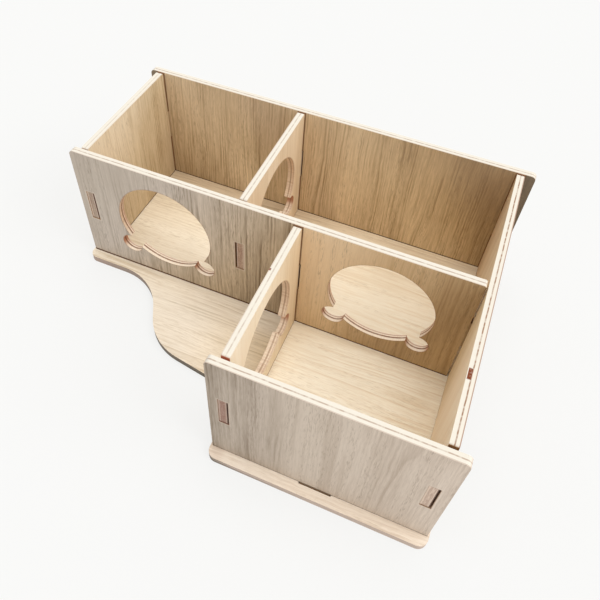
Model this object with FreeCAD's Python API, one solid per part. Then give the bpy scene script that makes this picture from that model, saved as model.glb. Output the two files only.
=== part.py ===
import FreeCAD, Part
import math
import os

# A wooden hamster house: an open-topped maze of three rooms and a porch. Seven upright plywood
# panels plug into each other and into a base board with tabs and slots, with no other fastener.
# Millimetres. +X runs to the right along the back wall, +Y to the back and +Z up. The origin is
# the middle of the base board's underside.

# Plywood sheets
wall_ply = 5.3                # thickness of every upright panel
base_ply = 5.1                # thickness of the base board

# Rooms, measured between the faces of the panels
wall_height = 100.0           # from the base board's top to the top of every panel
left_room_width = 112.7
right_room_width = 154.5
back_room_depth = 102.3       # both back rooms, and the two panels that run between the long walls
front_room_width = 114.1
front_room_depth = 103.2

# Ends of the long walls, past the panels that plug into them
left_overhang = 5.9           # back wall and middle wall, past the left end wall
right_overhang = 7.3          # back wall and front wall, past the right end wall
front_left_overhang = 6.4     # front wall, past the porch side wall
overhang_radius = 3.0         # top corners of the ends that stand free
shoulder_radius = 1.5         # top corners of the ends that meet another panel

# Base board, past the walls that stand on it
side_margin = 1.2             # past the ends of the long walls
edge_margin = 7.5             # past the outer faces of the long walls
board_radius = 6.0            # its outer corners

# Porch: the part of the base board in the corner in front of the left room. Reaches are
# measured from the middle wall's front face, and the two positions from the board's left edge.
porch_bend_start = 58.0       # where the board's front edge turns to run forward
porch_bend_end = 86.0         # where it turns again, to run along the porch's front
porch_reach_left = 58.3
porch_reach_right = 69.8
porch_bend_radius = 43.0
porch_corner_radius = 4.0     # inner corner where the porch meets the front room's floor

# Tabs and slots
joint_height = 51.3           # middle of the tabs at the panels' ends, above the base board
end_tab_length = 25.4         # up the panel's end
foot_tab_length = 19.8        # along the panel's lower edge
tab_recess = 0.4              # a tab's end lies this far inside the face it comes through
slot_play = 1.0               # how much a slot is longer and wider than its tab
end_gap = 0.9                 # between a panel's end and the face it meets
front_end_gap = 1.8           # the same at the two panels that meet the front wall

# Doorways: a round opening with two small round lobes low down at its sides
door_radius = 36.0
door_height = 51.5            # middle of the round opening, above the base board
lobe_radius = 8.0
lobe_distance = 40.8          # from the middle of the round opening to the middle of a lobe
lobe_angle = 42.6             # degrees below level

# Where the panels stand: each X is a panel's left face and each Y its front face
board_left = -0.5 * (2 * side_margin + left_overhang + 3 * wall_ply + left_room_width
                     + right_room_width + right_overhang)
board_right = -board_left
board_front = -0.5 * (2 * edge_margin + 3 * wall_ply + back_room_depth + front_room_depth)
board_back = -board_front
long_walls_left = board_left + side_margin
long_walls_right = board_right - side_margin
left_end_x = long_walls_left + left_overhang
divider_x = left_end_x + wall_ply + left_room_width
right_end_x = divider_x + wall_ply + right_room_width
porch_side_x = right_end_x - front_room_width - wall_ply
front_wall_left = porch_side_x - front_left_overhang
front_y = board_front + edge_margin
middle_y = front_y + wall_ply + front_room_depth
back_y = middle_y + wall_ply + back_room_depth

# Middles of the rooms, where the doorways and the foot tabs are
left_room_x = left_end_x + wall_ply + left_room_width / 2
right_room_x = divider_x + wall_ply + right_room_width / 2
front_room_x = porch_side_x + wall_ply + front_room_width / 2
back_rooms_y = middle_y + wall_ply + back_room_depth / 2
front_room_y = front_y + wall_ply + front_room_depth / 2


def outline(corners):
    """A closed wire through corners given as (x, y, radius), each rounded by its own radius."""
    edges = []
    last_end = None
    first_start = None
    for index, (x, y, radius) in enumerate(corners):
        corner = FreeCAD.Vector(x, y, 0)
        before = FreeCAD.Vector(*corners[index - 1][:2], 0)
        after = FreeCAD.Vector(*corners[(index + 1) % len(corners)][:2], 0)
        way_in = (corner - before).normalize()
        way_out = (after - corner).normalize()
        turn = way_in.getAngle(way_out)
        tangent = radius * math.tan(turn / 2)
        start = corner - way_in * tangent
        end = corner + way_out * tangent
        if last_end is not None:
            edges.append(Part.LineSegment(last_end, start).toShape())
        if radius > 0:
            inward = (way_out - way_in).normalize()
            centre = corner + inward * (radius / math.cos(turn / 2))
            edges.append(Part.Arc(start, centre - inward * radius, end).toShape())
        if first_start is None:
            first_start = start
        last_end = end
    edges.append(Part.LineSegment(last_end, first_start).toShape())
    return Part.Wire(edges)


def board(corners, thickness):
    """A flat board with the given outline, lying on the XY plane."""
    return Part.Face(outline(corners)).extrude(FreeCAD.Vector(0, 0, thickness))


def block(x_range, y_range, thickness):
    """A box over two ranges, as thick as the board it is cut from."""
    corner = FreeCAD.Vector(x_range[0], y_range[0], 0)
    return Part.makeBox(x_range[1] - x_range[0], y_range[1] - y_range[0], thickness, corner)


def around(middle, length):
    """The range of a given length about a middle."""
    return (middle - length / 2, middle + length / 2)


def slot_across(face, side):
    """The width of a slot for a panel whose near face is given. The play is all on one side of
    the panel: side is 1 for its far face and -1 for its near face."""
    if side > 0:
        return (face, face + wall_ply + slot_play)
    return (face - slot_play, face + wall_ply)


def through(gap):
    """How far a tab reaches out of a panel's end: over the gap and into the slot behind it."""
    return gap + wall_ply - tab_recess


def upright(start, end, feet, start_tab, end_tab):
    """The blank of a standing panel, drawn flat: X along the panel and Y up from the base board.
    Its lower edge has one tab per foot. An end whose tab has a reach of 0 stands free."""
    tab_low, tab_high = around(joint_height, end_tab_length)
    drop = base_ply - tab_recess
    corners = [(start, 0, 0)]
    for foot in feet:
        left, right = around(foot, foot_tab_length)
        corners += [(left, 0, 0), (left, -drop, 0), (right, -drop, 0), (right, 0, 0)]
    corners.append((end, 0, 0))
    if end_tab > 0:
        corners += [(end, tab_low, 0), (end + end_tab, tab_low, 0)]
        corners += [(end + end_tab, tab_high, 0), (end, tab_high, 0)]
    corners.append((end, wall_height, shoulder_radius if end_tab > 0 else overhang_radius))
    corners.append((start, wall_height, shoulder_radius if start_tab > 0 else overhang_radius))
    if start_tab > 0:
        corners += [(start, tab_high, 0), (start - start_tab, tab_high, 0)]
        corners += [(start - start_tab, tab_low, 0), (start, tab_low, 0)]
    return board(corners, wall_ply)


def upright_between(front_face, back_face, feet, front_gap):
    """The blank of a panel that joins two long walls, given the faces that it lies between."""
    return upright(front_face + front_gap, back_face - end_gap, feet,
                   through(front_gap), through(end_gap))


def door(middle):
    """The cutter of a doorway in a panel that is drawn flat."""
    cutter = Part.makeCylinder(door_radius, wall_ply, FreeCAD.Vector(middle, door_height, 0))
    for side in (-1, 1):
        x = middle + side * lobe_distance * math.cos(math.radians(lobe_angle))
        y = door_height - lobe_distance * math.sin(math.radians(lobe_angle))
        cutter = cutter.fuse(Part.makeCylinder(lobe_radius, wall_ply, FreeCAD.Vector(x, y, 0)))
    return cutter.removeSplitter()


def joint_slot(face, side):
    """The cutter of the slot that takes the end tab of a panel with the given near face."""
    return block(slot_across(face, side), around(joint_height, end_tab_length + slot_play), wall_ply)


def stand_along_x(panel, face_y):
    """Stands a flat panel up on the base board, along X, with its front face at face_y."""
    turn = FreeCAD.Rotation(FreeCAD.Vector(1, 0, 0), 90)
    panel.Placement = FreeCAD.Placement(FreeCAD.Vector(0, face_y + wall_ply, base_ply), turn)
    return panel


def stand_along_y(panel, face_x):
    """Stands a flat panel up on the base board, along Y, with its left face at face_x."""
    turn = FreeCAD.Rotation(FreeCAD.Vector(1, 1, 1), 120)
    panel.Placement = FreeCAD.Placement(FreeCAD.Vector(face_x, 0, base_ply), turn)
    return panel


def back_wall():
    """The longest wall, behind both back rooms. Three panels plug into it."""
    panel = upright(long_walls_left, long_walls_right, (left_room_x, right_room_x), 0, 0)
    for face, side in ((left_end_x, -1), (divider_x, 1), (right_end_x, 1)):
        panel = panel.cut(joint_slot(face, side))
    return stand_along_x(panel, back_y)


def middle_wall():
    """The wall between the back rooms, the porch and the front room, with a doorway to each.
    Its left end stands free and its right end plugs into the right end wall."""
    panel = upright(long_walls_left, right_end_x - end_gap, (left_room_x, front_room_x),
                    0, through(end_gap))
    for face, side in ((left_end_x, 1), (divider_x, -1), (porch_side_x, 1)):
        panel = panel.cut(joint_slot(face, side))
    for middle in (left_room_x, front_room_x):
        panel = panel.cut(door(middle))
    return stand_along_x(panel, middle_y)


def front_wall():
    """The outer wall of the front room. Two panels plug into it."""
    panel = upright(front_wall_left, long_walls_right, (front_room_x,), 0, 0)
    for face in (porch_side_x, right_end_x):
        panel = panel.cut(joint_slot(face, 1))
    return stand_along_x(panel, front_y)


def left_end_wall():
    """The short wall at the left end of the left room."""
    panel = upright_between(middle_y + wall_ply, back_y, (back_rooms_y,), end_gap)
    return stand_along_y(panel, left_end_x)


def right_end_wall():
    """The long side wall at the right, from the front wall to the back wall."""
    panel = upright_between(front_y + wall_ply, back_y, (front_room_y, back_rooms_y), front_end_gap)
    return stand_along_y(panel.cut(joint_slot(middle_y, -1)), right_end_x)


def back_divider():
    """The panel between the two back rooms, with a doorway."""
    panel = upright_between(middle_y + wall_ply, back_y, (back_rooms_y,), end_gap)
    return stand_along_y(panel.cut(door(back_rooms_y)), divider_x)


def porch_side_wall():
    """The left wall of the front room, with a doorway to the porch."""
    panel = upright_between(front_y + wall_ply, middle_y, (front_room_y,), front_end_gap)
    return stand_along_y(panel.cut(door(front_room_y)), porch_side_x)


def foot_slot(across, middle, along_x):
    """The cutter of the base board's slot for one foot tab, under a panel along X or along Y."""
    length = around(middle, foot_tab_length + slot_play)
    return block(length, across, base_ply) if along_x else block(across, length, base_ply)


def base_board():
    """The floor of the rooms and the porch, with a slot for every foot tab."""
    strip_front = middle_y - edge_margin
    front_part_left = front_wall_left - side_margin
    corners = (
        (board_left, board_back, board_radius),
        (board_left, strip_front, board_radius),
        (board_left + porch_bend_start, strip_front, porch_bend_radius),
        (board_left + porch_bend_end, middle_y - porch_reach_left, porch_bend_radius),
        (front_part_left, middle_y - porch_reach_right, porch_corner_radius),
        (front_part_left, board_front, board_radius),
        (board_right, board_front, board_radius),
        (board_right, board_back, board_radius),
    )
    floor = board(corners, base_ply)
    for face, side, feet in ((back_y, 1, (left_room_x, right_room_x)),
                             (middle_y, 1, (left_room_x, front_room_x)),
                             (front_y, -1, (front_room_x,))):
        for foot in feet:
            floor = floor.cut(foot_slot(slot_across(face, side), foot, True))
    for face, side, feet in ((left_end_x, -1, (back_rooms_y,)), (divider_x, -1, (back_rooms_y,)),
                             (porch_side_x, -1, (front_room_y,)),
                             (right_end_x, 1, (front_room_y, back_rooms_y))):
        for foot in feet:
            floor = floor.cut(foot_slot(slot_across(face, side), foot, False))
    return floor


pieces = (base_board, back_wall, middle_wall, front_wall,
          left_end_wall, right_end_wall, back_divider, porch_side_wall)

os.makedirs("parts", exist_ok=True)
for piece in pieces:
    shape = piece()
    box = shape.BoundBox
    print(piece.__name__, "solids", len(shape.Solids), "valid", shape.isValid(),
          "volume", round(shape.Volume), "x", round(box.XMin, 2), round(box.XMax, 2),
          "y", round(box.YMin, 2), round(box.YMax, 2), "z", round(box.ZMin, 2), round(box.ZMax, 2))
    shape.exportStep("parts/" + piece.__name__ + ".step")
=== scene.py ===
# %% [markdown]
# # A wooden hamster house
#
# The real house is a flat-pack kit. Seven upright plywood panels plug into each other and into a base
# board with tabs and slots. Its shape comes from a frame that is already built to size, so this lesson
# is about wood: a face with oak grain, a plain face, and an edge that a laser has cut and scorched.

import math

import bpy
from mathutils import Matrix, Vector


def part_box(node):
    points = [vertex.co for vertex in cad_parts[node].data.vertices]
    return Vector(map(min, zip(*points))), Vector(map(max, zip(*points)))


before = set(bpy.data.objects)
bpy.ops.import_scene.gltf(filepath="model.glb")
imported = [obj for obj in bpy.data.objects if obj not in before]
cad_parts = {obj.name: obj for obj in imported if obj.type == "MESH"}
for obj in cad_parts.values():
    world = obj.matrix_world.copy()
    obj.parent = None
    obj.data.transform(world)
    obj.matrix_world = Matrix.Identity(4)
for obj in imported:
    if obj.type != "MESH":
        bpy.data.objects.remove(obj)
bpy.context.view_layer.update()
print("panels:", ", ".join(sorted(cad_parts)))

# %% [markdown]
# ## Where the viewer stands
#
# The house is seen from its front right and from above, as by someone who leans over a table. A camera has
# a place, a turn and a lens. A lens shift slides the picture without turning the camera, so the upright
# walls keep their lean.

# %% Camera
viewer_place = (0.10278, -0.25336, 0.38335)
viewer_turn = (41.205, -2.233, 22.552)
viewer_lens = 37.617
viewer_shift = (0.0238, -0.0829)

viewer = bpy.data.cameras.new("viewer")
viewer.lens = viewer_lens
viewer.shift_x, viewer.shift_y = viewer_shift
viewer_object = bpy.data.objects.new("viewer", viewer)
viewer_object.location = viewer_place
viewer_object.rotation_euler = [math.radians(angle) for angle in viewer_turn]
bpy.context.scene.collection.objects.link(viewer_object)
bpy.context.scene.camera = viewer_object
print("the viewer stands", round(viewer_object.location.length, 3), "m from the house")

# %% [markdown]
# ## Colours
#
# A paint chart gives a colour as three numbers from 0 to 255, spaced as the eye sees them. Blender adds up
# light, so its sockets want them as amounts of light. This helper turns one into the other.

# %% Colour helper
def colour(red, green, blue):
    """A colour for a socket, from the 0 to 255 values of a paint chart."""
    def amount(level):
        share = level / 255
        return share / 12.92 if share <= 0.04045 else ((share + 0.055) / 1.055) ** 2.4
    return (amount(red), amount(green), amount(blue), 1.0)


print("middle grey reflects", round(colour(128, 128, 128)[0], 2), "of the light")

# %% [markdown]
# ## Studio light
#
# Bare wood looks best in soft light. The world gives an even light from all round. Two lamps of the sun
# kind model the walls: a wide one straight above, and one from the right at less than half height, which
# leaves the faces that look right or to the front lighter than the others. A sun's light is the same
# everywhere, so the table doesn't go dark towards its edges, and a wide sun throws soft shadows. The
# viewer sees the world as plain white, whatever light it gives.

# %% World and lamps
world_brightness = 0.75
lamps = {
    # name: (bearing in degrees from +X towards +Y, height in degrees, brightness, width in degrees)
    "top_lamp": (0, 90, 1.10, 50),
    "side_lamp": (-5, 40, 1.30, 40),
}

scene = bpy.context.scene
scene.view_settings.view_transform = "Standard"
scene.world = bpy.data.worlds.new("studio")
scene.world.use_nodes = True
studio = scene.world.node_tree
studio_light = studio.nodes["Background"]
studio_light.inputs["Strength"].default_value = world_brightness
studio_light.inputs["Color"].default_value = (1.0, 1.0, 1.0, 1.0)
seen_white = studio.nodes.new("ShaderNodeBackground")
seen_white.inputs["Strength"].default_value = 1.0
seen_white.inputs["Color"].default_value = colour(250, 250, 248)
who_looks = studio.nodes.new("ShaderNodeLightPath")
choose = studio.nodes.new("ShaderNodeMixShader")
studio.links.new(who_looks.outputs["Is Camera Ray"], choose.inputs[0])
studio.links.new(studio_light.outputs[0], choose.inputs[1])
studio.links.new(seen_white.outputs[0], choose.inputs[2])
studio.links.new(choose.outputs[0], studio.nodes["World Output"].inputs["Surface"])

level = world_brightness
for name, (bearing, height, brightness, width) in lamps.items():
    lamp = bpy.data.lights.new(name, "SUN")
    lamp.energy = brightness
    lamp.angle = math.radians(width)
    lamp_object = bpy.data.objects.new(name, lamp)
    lamp_object.rotation_euler = (0.0, math.radians(90 - height), math.radians(bearing))
    scene.collection.objects.link(lamp_object)
    level += brightness / math.pi * math.sin(math.radians(height))
print("light on a level surface:", round(level, 2), "times its colour")

# %% [markdown]
# ## Materials as recipes
#
# Every material here is a tree of nodes, and most of its nodes do sums: how far is this point from a face,
# or from the rim of a doorway? Sums are easier to read as sums. So a Number stands for a node's output, and
# Python's own signs add the Math nodes. A Recipe holds the tree.

# %% Numbers that the shader works out
class Number:
    """A number that is worked out at every point of a surface."""

    def __init__(self, recipe, socket):
        self.recipe = recipe
        self.socket = socket

    def __add__(self, other):
        return self.recipe.sum("ADD", self, other)

    __radd__ = __add__

    def __mul__(self, other):
        return self.recipe.sum("MULTIPLY", self, other)

    __rmul__ = __mul__

    def __sub__(self, other):
        return self.recipe.sum("SUBTRACT", self, other)

    def __rsub__(self, other):
        return self.recipe.sum("SUBTRACT", other, self)

    def __truediv__(self, other):
        return self.recipe.sum("DIVIDE", self, other)

    def __abs__(self):
        return self.recipe.sum("ABSOLUTE", self)


print("a Number understands + - * / and abs")

# %% The recipe itself
class Recipe:
    """A material's node tree, and short ways to add to it."""

    def __init__(self, name):
        self.material = bpy.data.materials.new(name)
        self.material.use_nodes = True
        self.nodes = self.material.node_tree.nodes
        self.shader = self.nodes["Principled BSDF"]

    def feed(self, socket, value):
        """Wires a number or another output into a socket, or writes a constant on it."""
        if isinstance(value, Number):
            value = value.socket
        if isinstance(value, bpy.types.NodeSocket):
            self.material.node_tree.links.new(value, socket)
        else:
            socket.default_value = value

    def add(self, kind, *values, **options):
        """Adds a node, sets its options and feeds its first sockets."""
        node = self.nodes.new(kind)
        for option, setting in options.items():
            setattr(node, option, setting)
        for socket, value in zip(node.inputs, values):
            self.feed(socket, value)
        return node

    def sum(self, operation, *values):
        """What a Math node makes of the values."""
        return Number(self, self.add("ShaderNodeMath", *values, operation=operation).outputs[0])

    def rise(self, value, low, high):
        """0 below low, 1 above high, and a soft step in between."""
        node = self.add("ShaderNodeMapRange", value, low, high, interpolation_type="SMOOTHSTEP")
        return Number(self, node.outputs[0])

    def fall(self, value, low, high):
        """1 below low and 0 above high."""
        return 1.0 - self.rise(value, low, high)

    def blend(self, share, under, over):
        """A colour that turns from under to over as share goes from 0 to 1."""
        node = self.add("ShaderNodeMix", data_type="RGBA")
        for socket, value in zip((node.inputs[0], node.inputs[6], node.inputs[7]), (share, under, over)):
            self.feed(socket, value)
        return node.outputs[2]

    def cloud(self, x, y, z, detail=2.0, roughness=0.5):
        """Smooth noise, about 0 to 1, whose lumps are about one unit wide."""
        place = self.add("ShaderNodeCombineXYZ", x, y, z).outputs[0]
        node = self.add("ShaderNodeTexNoise", place)
        node.inputs["Scale"].default_value = 1.0
        node.inputs["Detail"].default_value = detail
        node.inputs["Roughness"].default_value = roughness
        return Number(self, node.outputs[0])


print("a Recipe can feed, add, sum, rise, fall, blend and cloud")

# %% [markdown]
# ## The table
#
# The house stands on a pale sheet. It is a real surface, so the house throws its shadow on it. To the
# viewer most of the sheet's look is a white of its own, so the sheet is almost white and the shadow on it
# is faint. That shine is only for rays that come from the viewer or a reflection, so it adds no light to
# the house. Under the house the sheet doesn't shine, or it would glow through the slots in the base board.

# %% Pale sheet
sheet_width = 12.0
sheet_colour = (0.78, 0.78, 0.78, 1.0)
sheet_white = (0.93, 0.93, 0.915, 1.0)
sheet_shine = 0.80               # how much of the sheet's look is that white
under_margin = 0.003             # how far inside the base board's rim the sheet stops shining, in metres

bpy.ops.mesh.primitive_plane_add(size=sheet_width, location=(0.0, 0.0, 0.0))
sheet = bpy.context.object
sheet.name = "pale_sheet"

paper = Recipe("pale_sheet")
paper.feed(paper.shader.inputs["Base Color"], sheet_colour)
paper.feed(paper.shader.inputs["Roughness"], 1.0)
paper.feed(paper.shader.inputs["Specular IOR Level"], 0.0)
looks = paper.add("ShaderNodeLightPath")
seen = paper.sum("MAXIMUM", looks.outputs["Is Camera Ray"], looks.outputs["Is Glossy Ray"])
seen = paper.sum("MAXIMUM", seen, looks.outputs["Is Transmission Ray"])
shine = paper.add("ShaderNodeEmission", sheet_white, 1.0)
place = paper.add("ShaderNodeSeparateXYZ", paper.add("ShaderNodeTexCoord").outputs["Object"])
(board_left, board_front, _), (board_right, board_back, _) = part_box("base_board")
under = 1.0
for way, low, high in ((0, board_left, board_right), (1, board_front, board_back)):
    inside = paper.sum("GREATER_THAN", place.outputs[way], low + under_margin)
    under = inside * under * paper.sum("LESS_THAN", place.outputs[way], high - under_margin)
behind_porch = paper.sum("GREATER_THAN", place.outputs[1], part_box("middle_wall")[0][1])
beside_porch = paper.sum("GREATER_THAN", place.outputs[0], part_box("porch_side_wall")[0][0])
under = under * paper.sum("MAXIMUM", behind_porch, beside_porch)
shine_share = seen * sheet_shine * (1.0 - under)
lifted = paper.add("ShaderNodeMixShader", shine_share, paper.shader.outputs[0], shine.outputs[0])
paper.feed(paper.nodes["Material Output"].inputs["Surface"], lifted.outputs[0])
sheet.data.materials.append(paper.material)
print("the sheet is", sheet_width, "m wide")

# %% [markdown]
# ## Finding the way around a panel
#
# A finish has to know where it is: on a face or on a cut edge, near a doorway, or down at the foot. Each
# panel is measured along its own three ways: its depth through the ply, its run across the grain, and the
# way of the grain. All are in millimetres, as on the maker's drawing. The frame's objects sit at the
# origin, so their object coordinates are the house's own.

# %% Panel measures
mm = 1000.0
skin = 0.02                      # a point this close to a face is on it


class Panel(Recipe):
    """The finish of one panel, which knows where each point lies in the panel."""

    def __init__(self, node, through, run, grain):
        super().__init__(node + "_wood")
        place = self.add("ShaderNodeTexCoord")
        where = self.add("ShaderNodeSeparateXYZ", place.outputs["Object"])
        facing = self.add("ShaderNodeSeparateXYZ", place.outputs["Normal"])
        through, run, grain = ["XYZ".index(way) for way in (through, run, grain)]
        low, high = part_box(node)
        self.top = high[2] * mm
        self.thickness = (high[through] - low[through]) * mm
        self.depth = Number(self, where.outputs[through]) * mm - low[through] * mm
        self.run = Number(self, where.outputs[run]) * mm
        self.grain = Number(self, where.outputs[grain]) * mm
        self.height = Number(self, where.outputs[2]) * mm
        self.faces_up = Number(self, facing.outputs[2])
        self.faces_run = abs(Number(self, facing.outputs[run]))
        self.near = self.sum("LESS_THAN", self.depth, skin)
        self.far = self.sum("GREATER_THAN", self.depth, self.thickness - skin)
        self.edge = 1.0 - self.near - self.far
        self.seed = 7.0 * sorted(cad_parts).index(node)


def box_middle(node, way):
    """The middle of a panel along X, Y or Z, in millimetres."""
    low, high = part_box(node)
    return 0.5 * (low["XYZ".index(way)] + high["XYZ".index(way)]) * mm


for node in sorted(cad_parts):
    print(node, "is in the middle at", [round(box_middle(node, way), 1) for way in "XYZ"])

# %% [markdown]
# ## Which panel plugs into which
#
# Where a panel's end meets another panel, a tab goes through a slot, and a narrow gap is left above and
# below the tab. Slots and gaps are where the laser's soot shows most. Their places follow from this list
# of joints and from the panels' own boxes, so they can't drift away from the wood. A slot is a little
# wider than its tab, and the spare width is all on one side.

# %% Joints
joints = (
    # the panel with the tab, the panel with the slot, the side of the slot's play, and the joint's soot
    ("left_end_wall", "back_wall", -1, "smoke"), ("left_end_wall", "middle_wall", 1, "smoke"),
    ("back_divider", "back_wall", 1, "smoke"), ("back_divider", "middle_wall", -1, "smoke"),
    ("right_end_wall", "back_wall", 1, "smoke"), ("right_end_wall", "front_wall", 1, "char"),
    ("porch_side_wall", "middle_wall", 1, "smoke"), ("porch_side_wall", "front_wall", 1, "rust"),
    ("middle_wall", "right_end_wall", -1, "bare"),
)
through_way = {"back_wall": "Y", "middle_wall": "Y", "front_wall": "Y", "left_end_wall": "X",
               "right_end_wall": "X", "back_divider": "X", "porch_side_wall": "X", "base_board": "Z"}
# each slot: its tab's middle, the side of the play, whether the tab comes from the far side, its soot
slots = {node: [] for node in through_way}
# each end that meets a wall: the face it meets, 1 for a far face or -1, the side of the play, its soot
meets = {node: [] for node in through_way}
for plug, wall_name, play, soot_name in joints:
    way = through_way[wall_name]
    low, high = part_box(wall_name)
    on_far_side = box_middle(plug, way) > box_middle(wall_name, way)
    met_face = (high if on_far_side else low)["XYZ".index(way)] * mm
    slots[wall_name].append((box_middle(plug, through_way[plug]), play, on_far_side, soot_name))
    meets[plug].append((met_face, 1 if on_far_side else -1, play, soot_name))
print("slots:", {node: len(places) for node, places in slots.items() if places})

# %% [markdown]
# ## Oak grain
#
# Five of the seven walls wear a thin oak veneer on one face, and the base board wears it on top. A sawn oak
# board shows its years as lines: each starts pale and ends in a darker line, and some years are bolder than
# others. So the shader counts the years across the panel, with a slow noise that crowds and spreads them.
# The part after the decimal point says how far through its year a point is. Streaks and short dark pores
# are noise that is stretched along the grain. An image could carry grain too, but noise has no seams, and
# each panel gets its own.

# %% Stretched noise
sway_size = (36.0, 110.0)        # across and along the grain, in millimetres
ripple_size = (7.0, 16.0)        # the same for a smaller, quicker wander
ripple_reach = 1.1


def stretched(panel, size, layer, detail=2.0, roughness=0.5):
    """Noise whose lumps have the given size across and along the grain. Each layer is a noise of its own."""
    return panel.cloud(panel.swayed / size[0], panel.grain / size[1], panel.seed + layer, detail, roughness)


def set_sway(panel, reach):
    """Bends all of a panel's grain together, by up to about half of reach each way."""
    sway = panel.cloud(panel.run / sway_size[0], panel.grain / sway_size[1], panel.seed, 1.0)
    ripple = panel.cloud(panel.run / ripple_size[0], panel.grain / ripple_size[1], panel.seed + 0.5, 1.0)
    panel.swayed = panel.run + sway * reach + ripple * ripple_reach


print("the grain bends over", sway_size[1], "mm and ripples over", ripple_size[1], "mm")

# %% Oak lines and pores
band_size = (17.0, 300.0)
streak_size = (1.1, 32.0)
fibre_size = (0.5, 8.0)
pore_size = (0.42, 5.5)
row_size = (5.0, 170.0)
crowd_size = (22.0, 420.0)
crowd_reach = 9.0                # how many years the crowding adds at most
bold_size = (1.7, 70.0)          # across in years, along in millimetres
streak_share = 0.30
fibre_share = 0.20


def oak_lines(panel, year_width, years_share, band_share):
    """How dark the grain is at each point, from 0 to 1."""
    years = panel.swayed / year_width + stretched(panel, crowd_size, 1.1, 1.0) * crowd_reach
    season = panel.sum("FRACT", years)
    year = panel.sum("FLOOR", years)
    bold = panel.cloud(year / bold_size[0], panel.grain / bold_size[1], panel.seed + 1.7, 1.0)
    late = panel.rise(season, 0.25, 0.85) * panel.fall(season, 0.88, 1.0) * panel.rise(bold, 0.38, 0.66)
    band = panel.rise(stretched(panel, band_size, 2.3, 1.0), 0.32, 0.68)
    streak = panel.rise(stretched(panel, streak_size, 3.3, 3.0, 0.62), 0.34, 0.70)
    fibre = panel.rise(stretched(panel, fibre_size, 4.3, 2.0, 0.6), 0.36, 0.68)
    return band * band_share + streak * streak_share + fibre * fibre_share + late * years_share


def oak_pores(panel):
    """How much of a pore lies at each point, from 0 to 1."""
    pores = panel.rise(stretched(panel, pore_size, 5.3, 1.0), 0.54, 0.68)
    rows = panel.rise(stretched(panel, row_size, 6.3, 1.0), 0.47, 0.60)
    return pores * (rows * 0.8 + 0.2)


print("a pore is about", pore_size[0], "mm wide and", pore_size[1], "mm long")

# %% [markdown]
# ## Drift of tone
#
# A veneer isn't the same all over: it drifts from a lighter to a darker tone across the sheet, and often at
# a slant. A colour ramp along the panel's run does that. The slant moves the ramp sideways with height.

# %% Colour along a panel
half_height = 55.0               # a slant leaves the ramp where it is at this height, in millimetres


def drift(panel, place, stops):
    """A colour that changes with place, through stops of (millimetres, colour)."""
    first, last = stops[0][0], stops[-1][0]
    node = panel.add("ShaderNodeValToRGB", (place - first) / (last - first))
    ramp = node.color_ramp
    for index, (stop, chart) in enumerate(stops):
        step = ramp.elements[index] if index < 2 else ramp.elements.new(1.0)
        step.position = (stop - first) / (last - first)
        step.color = colour(*chart)
    return node.outputs[0]


def along_run(panel, stops, slant=0.0):
    """A colour that drifts along the panel's run, at a slant."""
    return drift(panel, panel.run + (panel.height - half_height) * slant, stops)


print("a slant turns about a height of", half_height, "mm")

# %% [markdown]
# ## Plain ply
#
# The other faces are bare pale wood, sanded smooth. It has the same kind of grain, so it takes the same
# noise, but its two tones are so close that only faint streaks show.

# %% Plain face
plain_band_size = (12.0, 220.0)
plain_streak_size = (1.8, 60.0)


def plain_lines(panel):
    """How dark the faint grain of a bare face is, from 0 to 1."""
    band = panel.rise(stretched(panel, plain_band_size, 11.3, 1.0), 0.3, 0.7)
    streak = panel.rise(stretched(panel, plain_streak_size, 12.3, 2.0, 0.6), 0.35, 0.7)
    return band * 0.5 + streak * 0.5


print("a plain streak is about", plain_streak_size[0], "mm wide")

# %% [markdown]
# ## Distances to the cuts
#
# Many marks lie a certain distance from a cut. The distance to a doorway is the least of the distances to
# its three circles, and the distance to a slot is the larger of the distances across and along it.

# %% Distances to the cuts
foot = 5.1                       # where the walls stand, above the underside of the base board
door_height = 56.6               # the middle of a doorway, above the same level
door_radius = 36.0
lobe_radius = 8.0
lobe_across = 30.03              # from the middle of a doorway to the middle of a lobe
lobe_drop = 27.62                # how far the lobe's middle lies below the doorway's
slot_height = 56.4               # the middle of a slot
slot_half_height = 13.2
slot_half_width = 3.15
slot_shift = 0.5                 # the play is all on one side, so the slot's middle isn't the tab's


def to_circle(panel, middle, height, radius):
    """The distance from a circle's rim, below 0 inside the circle."""
    aside = panel.run - middle
    above = panel.height - height
    return panel.sum("SQRT", aside * aside + above * above) - radius


def to_lobes(panel, middle):
    """The distance from the nearer lobe of a doorway."""
    left = to_circle(panel, middle - lobe_across, door_height - lobe_drop, lobe_radius)
    right = to_circle(panel, middle + lobe_across, door_height - lobe_drop, lobe_radius)
    return panel.sum("MINIMUM", left, right)


def to_slot(panel, middle, play):
    """The distance from a slot's rim, below 0 inside the slot."""
    aside = abs(panel.run - (middle + play * slot_shift)) - slot_half_width
    above = abs(panel.height - slot_height) - slot_half_height
    return panel.sum("MAXIMUM", aside, above)


print("a lobe is", round(lobe_across, 1), "mm aside of its doorway and", round(lobe_drop, 1), "mm below")

# %% [markdown]
# ## Cut edges
#
# A cut edge shows how the sheet is glued up: a pale layer on each side of a thin brown line in the middle.
# Edges that face up are kept almost clean, and the others are toasted. In a doorway the same line is darker
# and a second one shows near one face. The doorway's sill, which faces up, is its palest part, which is
# painted light where the doorway's own depth shades it. Its sides are toasted, and the small lobes, where
# the beam turned slowly, are the brownest. All of it follows from the depth through the ply, from which way
# the surface faces and from how near the doorway is.

# %% Edge measures
glue_half = 0.22                 # half the width of the line in the middle, in millimetres
door_line_half = 0.35            # the same in a doorway
film_width = 0.4                 # the veneer's own line along an edge's corner
second_line_place = 0.86         # of the way through the ply
wander_size = 6.0                # the lines swing over this length
break_size = 2.6                 # and fade and return over this one
stripe_size = 0.7                # of the dark stripes that the beam leaves
door_margin = 3.0                # how far past its rim a doorway's tones may reach


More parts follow.
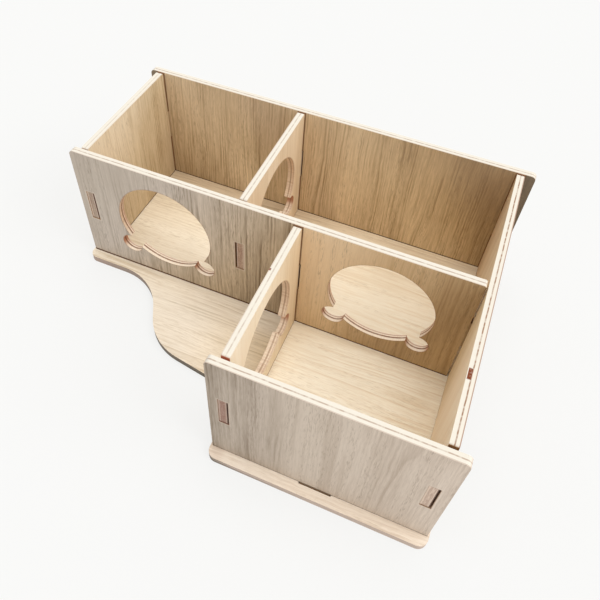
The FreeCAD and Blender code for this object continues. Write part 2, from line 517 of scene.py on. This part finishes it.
def at_doorway(panel, middle):
    """1 round a doorway and 0 at the panel's other edges."""
    reach = door_radius + door_margin
    aside = panel.fall(abs(panel.run - middle), reach, reach + 1.0)
    return aside * panel.fall(abs(panel.height - door_height), reach, reach + 1.0)


print("a doorway's tones reach", door_radius + door_margin, "mm from its middle")

# %% Laser-cut edge
def cut_edge(panel, tones, veneer_far, line_strength, film_strength, doors):
    """The colour of a cut edge, from its tones. Each of doors is as finish_wall says."""
    wander = panel.cloud(panel.run / wander_size, panel.height / wander_size, panel.seed + 21.3) - 0.5
    from_veneer = panel.thickness - panel.depth if veneer_far else panel.depth
    off_middle = abs(panel.depth - panel.thickness / 2 + wander * 0.35)
    broken = panel.cloud(panel.run / break_size, panel.height / break_size, panel.seed + 22.3)
    broken = panel.rise(broken, 0.32, 0.58) * 0.6 + 0.4
    fibres = panel.cloud(panel.run / 1.1, panel.height / 1.1, panel.depth / 1.7 + panel.seed, 2.0)
    # Edges that face up are kept clean and the others toasted, by which way the surface faces.
    toast = panel.fall(panel.faces_up, 0.10, 0.85)
    beam = panel.cloud(panel.run / stripe_size, panel.height / stripe_size, panel.seed + 23.3, 1.0)
    clean = panel.blend(fibres * 0.35, colour(*tones["clean"]), colour(*tones["layer"]))
    toasted = panel.blend(panel.rise(beam, 0.3, 0.7), colour(*tones["toast"]), colour(*tones["dark toast"]))
    wood = panel.blend(toast * (fibres * 0.4 + 0.6), clean, toasted)
    middle_line = panel.fall(off_middle, glue_half, glue_half + 0.3) * broken
    wood = panel.blend(middle_line * line_strength, wood, colour(*tones["line"]))
    film = panel.fall(from_veneer, film_width, film_width + 0.3)
    wood = panel.blend(film * film_strength, wood, colour(*tones["film"]))
    for middle, line_share, warmth in doors:
        at_door = at_doorway(panel, middle)
        in_lobe = panel.fall(to_lobes(panel, middle), 0.1, 0.3)
        # Painted light: the doorway's sill is made near white where the doorway's depth shades it.
        sill_light = panel.rise(panel.faces_up, 0.2, 0.8) * at_door
        wood = panel.blend(sill_light * (1.0 - warmth), wood, colour(*tones["sill_light"]))
        wood = panel.blend(at_door * warmth, wood, colour(*tones["warm"]))
        wood = panel.blend(panel.rise(beam, 0.42, 0.62) * at_door * warmth * 0.5, wood,
                           colour(*tones["dark toast"]))
        wood = panel.blend(in_lobe * toast * 0.9, wood, colour(*tones["lobe"]))
        dark_line = panel.fall(off_middle, door_line_half, door_line_half + 0.4) * at_door
        wood = panel.blend(dark_line * (broken * 0.3 + 0.7) * line_share, wood, colour(*tones["door line"]))
        off_second = abs(panel.depth - panel.thickness * second_line_place + wander * 0.3)
        second_line = panel.fall(off_second, 0.15, 0.5) * at_door
        wood = panel.blend(second_line * line_share * 0.8, wood, colour(*tones["second line"]))
    return wood


print("the line in the middle of an edge is about", 2 * glue_half, "mm wide")

# %% [markdown]
# ## Tab ends
#
# A tab's end shows in its slot from the other side. It is end grain, and its outer layers are pale with
# fine lines between them. Inside the slot the tab's sides are painted dark, which is painted shade that
# makes the gap in the slot look dark. The strip of the tab's end that lies beside the spare width is dark
# too, which is partly soot and partly painted shade. The tab ends lie almost a ply's thickness beyond the
# face that the panel meets, and no other end of the panel reaches that far.

# %% Tab end
tab_looks = {
    # panel: the tone of its tab ends, how mottled they are, and how much soot and painted shade darken the
    # side with the play
    "left_end_wall": ((178, 160, 141), 0.6, 0.9), "back_divider": ((184, 156, 132), 0.9, 0.4),
    "porch_side_wall": ((164, 133, 118), 0.9, 0.5), "right_end_wall": ((212, 190, 170), 0.2, 0.9),
    "middle_wall": ((200, 174, 150), 0.5, 0.9),
}


def tab_end(panel, node, wood, tones):
    """Adds the look of end grain to a panel's tab ends."""
    if node not in tab_looks:
        return wood
    chart, mottled, soot_and_shade_share = tab_looks[node]
    lines = panel.cloud(panel.depth / 0.5, panel.height / 7.0, panel.seed + 31.3, 2.0)
    beads = panel.cloud(panel.depth / 0.8, panel.height / 1.0, panel.seed + 32.3, 1.0)
    lines = panel.rise(lines * (1.0 - mottled * 0.6) + beads * (mottled * 0.6), 0.40, 0.58)
    grain = panel.blend(lines * (0.35 + 0.3 * mottled), colour(*chart), colour(*tones["tab line"]))
    off_middle = panel.depth - panel.thickness / 2
    outer = panel.rise(abs(off_middle), 1.5, 2.0) * (1.0 - mottled * 0.6)
    grain = panel.blend(outer, grain, colour(*tones["tab layer"]))
    faces_end = panel.rise(panel.faces_run, 0.8, 0.9)
    for face, way, play, _ in meets[node]:
        # Soot and painted shade: a dark strip along the tab's end on the side of the play, so that the gap
        # looks wider.
        soot_and_shade_strip = panel.rise(off_middle * play, 2.05, 2.3)
        end = panel.blend(soot_and_shade_strip * soot_and_shade_share, grain, colour(*tones["char"]))
        beyond = panel.rise((face - panel.run) * way, 3.6, 4.2)
        wood = panel.blend(beyond * faces_end, wood, end)
        # Painted shade: the panel's faces inside the slot are painted dark, where the slot shades them.
        in_slot = panel.rise((face - panel.run) * way, 0.1, 0.4)
        wood = panel.blend(in_slot * (1.0 - panel.edge) * 0.9, wood, colour(*tones["char"]))
    return wood


print("panels whose tab ends show:", ", ".join(sorted(tab_looks)))

# %% [markdown]
# ## Scorch and painted shade
#
# The beam also marks the faces beside a cut: a thin brown rim round each doorway and slot. A dark line runs
# where a wall's foot comes down on the base board, which is partly scorch and partly painted shade of the
# hairline gap there. Where a panel's end meets its neighbour, the corner is a brown line, the gap above and
# below the tab is sooty, and the tab's upper side is dark at the joint. These are partly soot and partly
# painted shade in the narrow gaps and corners. The strip of a face that the neighbour's end hides is
# painted dark, which is painted shade that makes the gap look dark. The foot tabs are toasted where they go
# into the base board. Each joint names its soot, which sets how dark its gap and slot are: char, rust, smoke
# or bare.

# %% Rims and soot
joint_soot_and_shade = {
    # joint's soot: its tone in the gap above and below the tab, which is soot and painted shade, and inside
    # the slot
    "char": ((158, 118, 78), (160, 128, 100)), "rust": ((200, 126, 96), (122, 80, 60)),
    "smoke": ((176, 134, 98), (164, 126, 88)), "bare": ((246, 226, 196), (164, 126, 88)),
}
rim_width = 0.15
rim_tone = colour(140, 96, 62)
pale_tone = colour(226, 212, 194)        # of the face just beside a slot
# The corner tone is partly soot and partly painted shade, in the corners where panels meet.
corner_tone = colour(108, 66, 30)


def scorch_and_shade_at_cuts(panel, node, wood, doors, corner_share):
    """Adds the rims of a wall's doorways and slots, and the marks where other walls meet it, which are
    partly soot and partly painted shade in the gaps and corners.
    """
    for middle in doors:
        to_door = panel.sum("MINIMUM", to_circle(panel, middle, door_height, door_radius),
                            to_lobes(panel, middle))
        rim = panel.fall(abs(to_door), rim_width, rim_width + 0.5)
        wood = panel.blend(rim * (1.0 - panel.edge) * 0.4, wood, rim_tone)
    for middle, play, on_far_side, soot_name in slots[node]:
        gap_tone, slot_tone = joint_soot_and_shade[soot_name]
        distance = to_slot(panel, middle, play)
        shown = panel.near if on_far_side else panel.far
        pale = panel.fall(distance, 0.5, 1.6) * shown
        wood = panel.blend(pale * 0.3, wood, pale_tone)
        rim = panel.fall(abs(distance), rim_width, rim_width + 0.3)
        wood = panel.blend(rim * shown * 0.5, wood, rim_tone)
        inside = panel.fall(distance, 0.05, 0.1) * panel.edge
        wood = panel.blend(inside * 0.9, wood, colour(*slot_tone))
        met = panel.far if on_far_side else panel.near
        # Soot and painted shade: a brown line on the face beside the neighbour's end, in the corner.
        beside = panel.fall(abs(panel.run - middle), 3.1, 3.6) * met
        wood = panel.blend(beside * corner_share, wood, corner_tone)
        # Painted shade: the strip of face that the neighbour's end hides is darkened, so the gap beside it
        # looks dark.
        behind = panel.fall(abs(panel.run - middle), 2.5, 2.8) * met
        wood = panel.blend(behind * 0.9, wood, colour(*gap_tone))
    return wood


print("soots:", ", ".join(sorted(joint_soot_and_shade)))

# %% Ends and feet
in_board_tone = colour(206, 166, 120)    # of the foot tabs


def scorch_and_shade_at_ends(panel, node, wood, corner_share):
    """Adds the marks where the wall's own ends meet other walls, which are partly soot and partly painted
    shade in the gaps and corners.
    """
    faces_end = panel.edge * panel.rise(panel.faces_run, 0.8, 0.9)
    below_top = panel.fall(panel.height, panel.top - 1.0, panel.top - 0.5)
    tab_top = panel.rise(panel.faces_up, 0.5, 0.8) * below_top
    for met_face, _, _, soot_name in meets[node]:
        from_joint = abs(panel.run - met_face)
        # Soot and painted shade: the end faces in the gap, the tab's upper side at the joint, and the corner
        # line.
        wood = panel.blend(panel.fall(from_joint, 2.2, 2.5) * faces_end, wood, colour(*joint_soot_and_shade[soot_name][0]))
        wood = panel.blend(panel.fall(from_joint, 1.4, 1.8) * panel.edge * tab_top, wood, corner_tone)
        on_face = panel.fall(from_joint, 0.7, 1.4) * (1.0 - panel.edge)
        wood = panel.blend(on_face * corner_share, wood, corner_tone)
    return wood


def scorch_and_shade_at_foot(panel, wood, foot_mark):
    """Adds the dark line at the wall's foot, which is partly scorch and partly painted shade of the hairline
    gap, and the toast of its foot tabs.
    """
    line, chart, strength = foot_mark
    above_board = panel.rise(panel.height, foot - 0.3, foot - 0.1)
    # Scorch and painted shade: a dark line just above the base board, for the hairline gap under the wall.
    at_foot = panel.fall(panel.height, foot + line, foot + line + 0.4) * (1.0 - panel.edge)
    wood = panel.blend(at_foot * above_board * strength, wood, colour(*chart))
    return panel.blend((1.0 - above_board) * 0.8, wood, in_board_tone)


def scorch_and_shade(panel, node, wood, doors, foot_mark):
    """Adds all of the laser's marks to a wall's colour, and the painted shade in its gaps, corners and foot.
    """
    # Painted shade: the corner lines are darker above and below the tab, where the gap is.
    off_tab = panel.rise(abs(panel.height - slot_height), slot_half_height - 1.0, slot_half_height)
    corner_share = off_tab * 0.5 + 0.3
    wood = scorch_and_shade_at_cuts(panel, node, wood, doors, corner_share)
    wood = scorch_and_shade_at_ends(panel, node, wood, corner_share)
    return scorch_and_shade_at_foot(panel, wood, foot_mark)


print("the walls stand", foot, "mm above the underside")

# %% [markdown]
# ## Small marks
#
# No sheet is perfect. A knot in the top edge, or a burn where the beam paused, is a small mottled oblong.

# %% Small mark
mottle_size = 1.2                # of the paler spots in a mark, in millimetres


def small_mark(panel, wood, middle, half_size, chart, strength):
    """Adds an oblong mark. Its middle and half size are along the run and through the depth."""
    along = abs(panel.run - middle[0]) / half_size[0]
    across = abs(panel.depth - middle[1]) / half_size[1]
    spot = panel.fall(panel.sum("MAXIMUM", along, across), 0.85, 1.1)
    on_top = panel.rise(panel.height, panel.top - 1.0, panel.top - 0.5)
    mottle = panel.cloud(panel.run / mottle_size, panel.depth / mottle_size, panel.seed + 41.3, 1.0)
    pale = panel.rise(mottle, 0.5, 0.6)
    return panel.blend(spot * on_top * (1.0 - pale * 0.2) * strength, wood, colour(*chart))


print("the spots in a small mark are about", mottle_size, "mm wide")

# %% [markdown]
# ## Surface
#
# Sanded wood is dull, with a slight sheen where the light grazes it. Pores are shallow grooves, so a bump
# node takes its height from the same pores that colour the veneer.

# %% Surface helper
wood_roughness = 0.62
wood_gloss = 0.2
pore_strength = 0.35
pore_depth = 0.0001              # in metres


def dress(panel, node, wood, pores):
    """Puts the finished colour on the shader, and the material on its panel."""
    panel.feed(panel.shader.inputs["Base Color"], wood)
    panel.feed(panel.shader.inputs["Roughness"], wood_roughness)
    panel.feed(panel.shader.inputs["Specular IOR Level"], wood_gloss)
    bump = panel.add("ShaderNodeBump")
    bump.inputs["Strength"].default_value = pore_strength
    bump.inputs["Distance"].default_value = pore_depth
    panel.feed(bump.inputs["Height"], 1.0 - pores)
    panel.feed(panel.shader.inputs["Normal"], bump.outputs[0])
    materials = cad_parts[node].data.materials
    materials.clear()
    materials.append(panel.material)
    print(node, "is dressed with", len(panel.nodes), "nodes")


# %% [markdown]
# ## The walls
#
# Five walls have one veneered face and one plain face. The back divider and the porch side wall are plain
# on both. The faces that show most differ in tone from end to end, as panels cut from a real sheet do. So
# each wall gives its own colours as stops along its run, and shares the rest.

# %% Tones that the walls share
edge_tones = {
    "clean": (222, 216, 204), "layer": (214, 202, 177), "warm": (226, 200, 168), "sill_light": (252, 239, 219),
    "toast": (214, 182, 152), "dark toast": (190, 152, 123), "lobe": (176, 118, 88),
    "line": (146, 106, 78), "door line": (128, 84, 58), "second line": (168, 118, 92),
    "film": (172, 142, 124), "tab line": (138, 100, 82), "tab layer": (222, 202, 182),
    # char is soot, and also the painted shade on the tabs inside the slots
    "char": (96, 60, 46),
}
# The foot line is partly scorch and partly painted shade of the hairline gap under the wall.
thin_foot = (0.4, (60, 42, 24), 0.6)     # the foot line's height in millimetres, its tone and strength
print("the walls share", len(edge_tones), "edge tones")

# %% Wall helper
def wall_panel(node, sway_reach=6.0):
    """A wall, with its grain upright."""
    panel = Panel(node, through_way[node], "X" if through_way[node] == "Y" else "Y", "Z")
    set_sway(panel, sway_reach)
    return panel


def finish_wall(panel, node, near_face, far_face, pores=None, veneer_far=False, doors=(),
                line_strength=0.6, film_strength=0.5, foot_mark=thin_foot, marks=()):
    """Adds a wall's edges and marks to its two faces, and dresses it. Each of doors is a doorway's middle,
    how dark its lines are and how warm its edge is. Each of marks is what small_mark takes."""
    face = panel.blend(panel.far, near_face, far_face)
    edge = cut_edge(panel, edge_tones, veneer_far, line_strength, film_strength, doors)
    wood = panel.blend(panel.edge, face, edge)
    wood = scorch_and_shade(panel, node, wood, [door[0] for door in doors], foot_mark)
    wood = tab_end(panel, node, wood, edge_tones)
    for mark in marks:
        wood = small_mark(panel, wood, *mark)
    dress(panel, node, wood, pores * (panel.far if veneer_far else panel.near) if pores else 0.0)


def bare_face(panel, chart=(232, 209, 178), dark_chart=(218, 192, 156)):
    """A bare face that is the same from end to end."""
    return panel.blend(plain_lines(panel), colour(*chart), colour(*dark_chart))


print("walls to dress:", len(through_way) - 1)

# %% [markdown]
# ### Front wall
#
# The front wall is the outer wall of the front room. Its veneer is greyish and darkest at its left end.
# Its grain hardly sways, so the lines run almost straight up. An image could show one such sheet, but stops
# and noise serve every wall.

# %% Front wall
panel = wall_panel("front_wall", 3.0)
pores = oak_pores(panel)
light = along_run(panel, ((10, (190, 176, 160)), (40, (198, 183, 167)),
                          (66, (209, 194, 177)), (90, (213, 198, 181)), (148, (218, 202, 185))))
dark = along_run(panel, ((10, (126, 110, 91)), (40, (146, 130, 112)),
                         (66, (188, 172, 154)), (90, (184, 167, 149)), (148, (178, 160, 142))))
veneer = panel.blend(oak_lines(panel, 3.6, 0.36, 0.36), light, dark)
veneer = panel.blend(pores * 0.3, veneer, colour(116, 97, 78))
finish_wall(panel, "front_wall", veneer, bare_face(panel), pores, foot_mark=(0.4, (70, 50, 32), 0.8))

# %% [markdown]
# ### Middle wall
#
# The middle wall shows twice: greyish behind the porch, and pale to honey brown in the front room. So it
# has two sets of stops, and the porch side wall hides the place where one takes over from the other. The
# drift leans on both sides, so both sets have a slant. Part of each drift is painted shade: the porch set
# darkens towards the porch side wall and the room set towards the right end wall, and the slant makes that
# shade reach further low down.

# %% Middle wall
left_room_middle = box_middle("left_end_wall", "X") * 0.5 + box_middle("back_divider", "X") * 0.5
front_room_middle = box_middle("porch_side_wall", "X") * 0.5 + box_middle("right_end_wall", "X") * 0.5
panel = wall_panel("middle_wall", 3.0)
pores = oak_pores(panel)
room_start = box_middle("porch_side_wall", "X")
in_front_room = panel.rise(panel.run, room_start - 0.5, room_start + 0.5)
# Painted shade: both sets darken towards the wall that stands beside them, further along low down.
porch_light = along_run(panel, ((-148, (196, 184, 169)), (-105, (207, 194, 180)), (-60, (211, 194, 173)),
                                (-10, (206, 184, 153)), (18, (186, 165, 136))), -0.7)
porch_dark = along_run(panel, ((-148, (176, 163, 148)), (-105, (163, 149, 133)), (-60, (126, 108, 84)),
                               (-10, (122, 100, 72)), (18, (100, 80, 54))), -0.7)
room_light = along_run(panel, ((10, (241, 218, 185)), (60, (223, 196, 157)), (100, (194, 167, 128)),
                               (122, (188, 160, 120)), (144, (206, 177, 134))), -0.5)
room_dark = along_run(panel, ((10, (230, 204, 168)), (60, (196, 167, 127)), (100, (164, 135, 98)),
                              (122, (154, 126, 88)), (144, (172, 143, 102))), -0.5)
light = panel.blend(in_front_room, porch_light, room_light)
dark = panel.blend(in_front_room, porch_dark, room_dark)
veneer = panel.blend(oak_lines(panel, 2.6, 0.50, 0.22), light, dark)
veneer = panel.blend(pores * 0.35, veneer, colour(98, 80, 58))
finish_wall(panel, "middle_wall", veneer, bare_face(panel), pores,
            doors=((left_room_middle, 0.95, 0.25), (front_room_middle, 0.95, 0.25)),
            foot_mark=(1.4 - in_front_room * 0.5, (84, 48, 12), 1.0))

# %% [markdown]
# ### Back wall
#
# The back wall is the longest. Its oak is honey brown with close lines, and darkest at its right end. Its
# stops darken towards both end walls, which is painted shade in those corners. A pale tone over its upper
# part is painted light, which leaves the lower part darker, and a dark grey over the short strips outside
# the rooms is painted shade in the corner beside each end wall. Both are easier to blend on top than to work
# into the stops.

# %% Back wall
panel = wall_panel("back_wall", 8.0)
pores = oak_pores(panel)
# Painted shade: the stops darken towards both end walls, most at the right, in those corners.
light = along_run(panel, ((-150, (202, 178, 143)), (-95, (238, 216, 181)), (-60, (230, 206, 168)),
                          (-25, (223, 198, 163)), (0, (232, 207, 169)), (60, (236, 212, 172)),
                          (100, (218, 190, 146)), (140, (178, 148, 106))), 0.7)
dark = along_run(panel, ((-150, (140, 114, 78)), (-95, (166, 140, 103)), (-60, (158, 131, 93)),
                         (-25, (150, 123, 88)), (0, (158, 130, 92)), (60, (164, 136, 95)),
                         (100, (136, 107, 65)), (140, (108, 80, 45))), 0.7)
veneer = panel.blend(oak_lines(panel, 2.4, 0.42, 0.24), light, dark)
veneer = panel.blend(pores * 0.35, veneer, colour(104, 78, 46))
# Painted light: a pale tone over the upper part, which leaves the lower part darker.
veneer = panel.blend(panel.rise(panel.height, 40.0, 105.0) * 0.22, veneer, colour(208, 187, 162))
left_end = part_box("left_end_wall")[0][0] * mm
right_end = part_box("right_end_wall")[1][0] * mm
# Painted shade: a dark grey on the strips beyond the end walls, in the corner beside each.
overhang_shade = panel.rise(panel.run, right_end, right_end + 0.8) + panel.fall(panel.run, left_end - 0.8, left_end)
veneer = panel.blend(overhang_shade * 0.75, veneer, colour(96, 86, 74))
finish_wall(panel, "back_wall", veneer, bare_face(panel), pores, foot_mark=(0.7, (72, 44, 16), 0.9))

# %% [markdown]
# ### Left end wall
#
# The left end wall turns its veneer into the left room, so here the veneer is on the far face. It is
# palest at the front and drifts to brown towards the back, at a slant. The slant leaves the lower part
# darker, which is painted shade.

# %% Left end wall
panel = wall_panel("left_end_wall")
pores = oak_pores(panel)
# Painted shade: the slant makes the lower part darker.
light = along_run(panel, ((0, (238, 221, 193)), (50, (219, 199, 165)), (110, (213, 191, 156))), -1.0)
dark = along_run(panel, ((0, (206, 184, 151)), (50, (170, 144, 106)), (110, (162, 136, 97))), -1.0)
veneer = panel.blend(oak_lines(panel, 2.8, 0.42, 0.25), light, dark)
veneer = panel.blend(pores * 0.3, veneer, colour(120, 96, 66))
finish_wall(panel, "left_end_wall", bare_face(panel), veneer, pores, veneer_far=True,
            line_strength=0.3, film_strength=0.3, foot_mark=(0.7, (72, 44, 16), 0.9))

# %% [markdown]
# ### Right end wall
#
# The right end wall turns its bare face inward and its veneer outward. From inside, the veneer is only a
# brown line along the edges. A knot in the top edge is a small mark.

# %% Right end wall
panel = wall_panel("right_end_wall")
pores = oak_pores(panel)
veneer = panel.blend(oak_lines(panel, 3.2, 0.42, 0.30), colour(201, 186, 167), colour(164, 146, 125))
veneer = panel.blend(pores * 0.35, veneer, colour(116, 96, 78))
# The bare face is lighter towards the front, which is painted light on a face that looks away from the side
# lamp, and darker just in front of the middle wall, which is painted shade in that corner.
bare_light = along_run(panel, ((-110, (250, 238, 216)), (-45, (246, 229, 202)), (-8, (225, 203, 165)),
                               (4, (238, 218, 188)), (110, (208, 180, 146))))
bare_dark = along_run(panel, ((-110, (244, 226, 198)), (-45, (237, 215, 185)), (-8, (211, 185, 144)),
                              (4, (224, 200, 166)), (110, (190, 160, 122))))
inner = panel.blend(plain_lines(panel), bare_light, bare_dark)
finish_wall(panel, "right_end_wall", inner, veneer, pores, veneer_far=True, line_strength=0.95,
            film_strength=1.0, marks=(((-62.3, 1.55), (3.6, 1.15), (120, 58, 26), 1.0),))

# %% [markdown]
# ### Back divider
#
# The back divider is bare on both faces and almost even in tone. Its doorway's edge is warmer than those
# of the middle wall, which is a share that each doorway gives for itself.

# %% Back divider
back_room_middle = box_middle("left_end_wall", "Y")
panel = wall_panel("back_divider")
bare_light = along_run(panel, ((3, (234, 213, 184)), (60, (232, 211, 182)), (105, (230, 209, 179))))
bare_dark = along_run(panel, ((3, (218, 193, 160)), (60, (216, 191, 158)), (105, (212, 188, 155))))
right_face = panel.blend(plain_lines(panel), bare_light, bare_dark)
finish_wall(panel, "back_divider", bare_face(panel), right_face, doors=((back_room_middle, 0.5, 0.7),),
            line_strength=0.45, film_strength=0.3)

# %% [markdown]
# ### Porch side wall
#
# The porch side wall is bare too, palest at the front and browner towards the back. The line at its foot
# is lighter than the other walls', and a small burn marks its top edge.

# %% Porch side wall
porch_door_middle = 0.5 * (meets["porch_side_wall"][0][0] + meets["porch_side_wall"][1][0])
panel = wall_panel("porch_side_wall")
bare_light = along_run(panel, ((-110, (250, 240, 220)), (-50, (248, 234, 209)), (0, (229, 207, 174))))
bare_dark = along_run(panel, ((-110, (244, 230, 206)), (-50, (238, 219, 189)), (0, (212, 186, 148))))
inner = panel.blend(plain_lines(panel), bare_light, bare_dark)
finish_wall(panel, "porch_side_wall", bare_face(panel), inner, doors=((porch_door_middle, 0.5, 0.7),),
            line_strength=0.4, film_strength=0.3, foot_mark=(0.9, (140, 108, 72), 0.9),
            marks=(((-41.1, 0.4), (0.9, 0.7), (126, 74, 54), 0.9),))

# %% [markdown]
# ## The base board
#
# The base board lies flat, so its grain runs along X. Its veneer is the palest oak, and each room's floor
# has a tone of its own. So its stops run from the front to the back, once for the left part and once for
# the right. They darken the floors towards the back wall, which is painted shade, and lighten the porch at
# the middle wall's foot, which is painted light. A tint of painted shade goes over the porch beside the
# side wall.

# %% Base board's top
under_front_wall = (-110.0, -106.0)      # a change of tone can hide under each wall, in millimetres
under_middle_wall = (-2.0, 3.0)
under_side_wall = (16.0, 21.0)

board = Panel("base_board", "Z", "Y", "X")
set_sway(board, 8.0)
board_pores = oak_pores(board)
in_front = board.fall(board.run, *under_middle_wall)
to_right = board.rise(board.grain, *under_side_wall) * in_front
to_right = to_right + board.rise(board.grain, -19.0, 60.0) * (1.0 - in_front)
# The stops darken towards the back wall, which is painted shade, and lighten the porch at the middle wall's
# foot, which is painted light.
left_light = along_run(board, ((-118, (231, 214, 196)), (-110, (231, 214, 196)), (-106, (236, 224, 206)),
                               (-25, (238, 226, 207)), (-2, (250, 238, 218)), (3, (251, 244, 227)),
                               (70, (250, 238, 214)), (110, (226, 204, 172))))
left_dark = along_run(board, ((-118, (188, 166, 143)), (-110, (188, 166, 143)), (-106, (192, 174, 149)),
                              (-25, (194, 175, 148)), (-2, (212, 193, 164)), (3, (225, 210, 184)),
                              (70, (218, 200, 170)), (110, (184, 158, 121))))
# Painted shade: a darker tint over the porch floor beside the side wall.
side_wall_shade = board.rise(board.grain, -50.0, 12.0) * board.fall(board.run, -30.0, -10.0)
side_wall_shade = side_wall_shade * board.rise(board.run, *under_front_wall)
left_light = board.blend(side_wall_shade * 0.8, left_light, colour(223, 202, 168))
left_dark = board.blend(side_wall_shade * 0.8, left_dark, colour(182, 160, 125))
right_light = along_run(board, ((-118, (240, 226, 208)), (-110, (240, 226, 208)), (-106, (253, 246, 227)),
                                (-4, (254, 246, 226)), (4, (254, 248, 230)), (110, (250, 235, 207))))
right_dark = along_run(board, ((-118, (206, 186, 164)), (-110, (206, 186, 164)), (-106, (226, 207, 178)),
                               (-4, (227, 206, 173)), (4, (238, 221, 191)), (110, (222, 195, 155))))
light = board.blend(to_right, left_light, right_light)
dark = board.blend(to_right, left_dark, right_dark)
board_oak = board.blend(oak_lines(board, 3.6, 0.46, 0.22), light, dark)
board_oak = board.blend(board_pores * 0.3, board_oak, colour(180, 158, 124))
underside = bare_face(board, (214, 192, 160), (196, 172, 138))
print("the base board's top takes", len(board.nodes), "nodes")

# %% [markdown]
# The board's cut edge is pale brown. Towards the left it turns grey and darker, with a brown glue line above
# a grey lower layer; the grey and the darkening are painted shade on the edges that face left and to the
# front. Round the porch it is the darkest, which is painted shade too.

# %% Base board's edge
# Painted shade: the edge turns grey and darker towards the left, where its lines also show.
left_shade_and_lines = board.fall(board.grain, -10.0, 90.0)
board_edge = board.blend(board.rise(board.depth, 1.5, 1.9) * left_shade_and_lines + (1.0 - left_shade_and_lines),
                         colour(132, 120, 110), colour(194, 175, 160))
glue = board.fall(abs(board.depth - 1.7), 0.15, 0.45)
board_edge = board.blend(glue * 0.7 * left_shade_and_lines, board_edge, colour(110, 88, 76))
# Painted shade: the edge round the porch is the darkest.
porch_edge_shade = drift(board, board.grain, ((-150, (178, 156, 142)), (-100, (150, 134, 122)),
                                        (-80, (110, 100, 88)), (-10, (96, 88, 72)), (12, (96, 88, 72))))
at_porch = board.fall(board.grain, 7.5, 8.4) * 0.9 + board.fall(board.grain, 9.0, 30.0) * 0.6
at_porch = board.sum("MINIMUM", at_porch, 0.9) * in_front
board_edge = board.blend(at_porch, board_edge, porch_edge_shade)
arris = board.rise(board.depth, board.thickness - 0.6, board.thickness - 0.2)
board_edge = board.blend(arris * left_shade_and_lines * 0.7, board_edge, colour(146, 122, 108))
board_wood = board.blend(board.edge, board.blend(board.far, underside, board_oak), board_edge)
dress(board, "base_board", board_wood, board_pores * board.far)
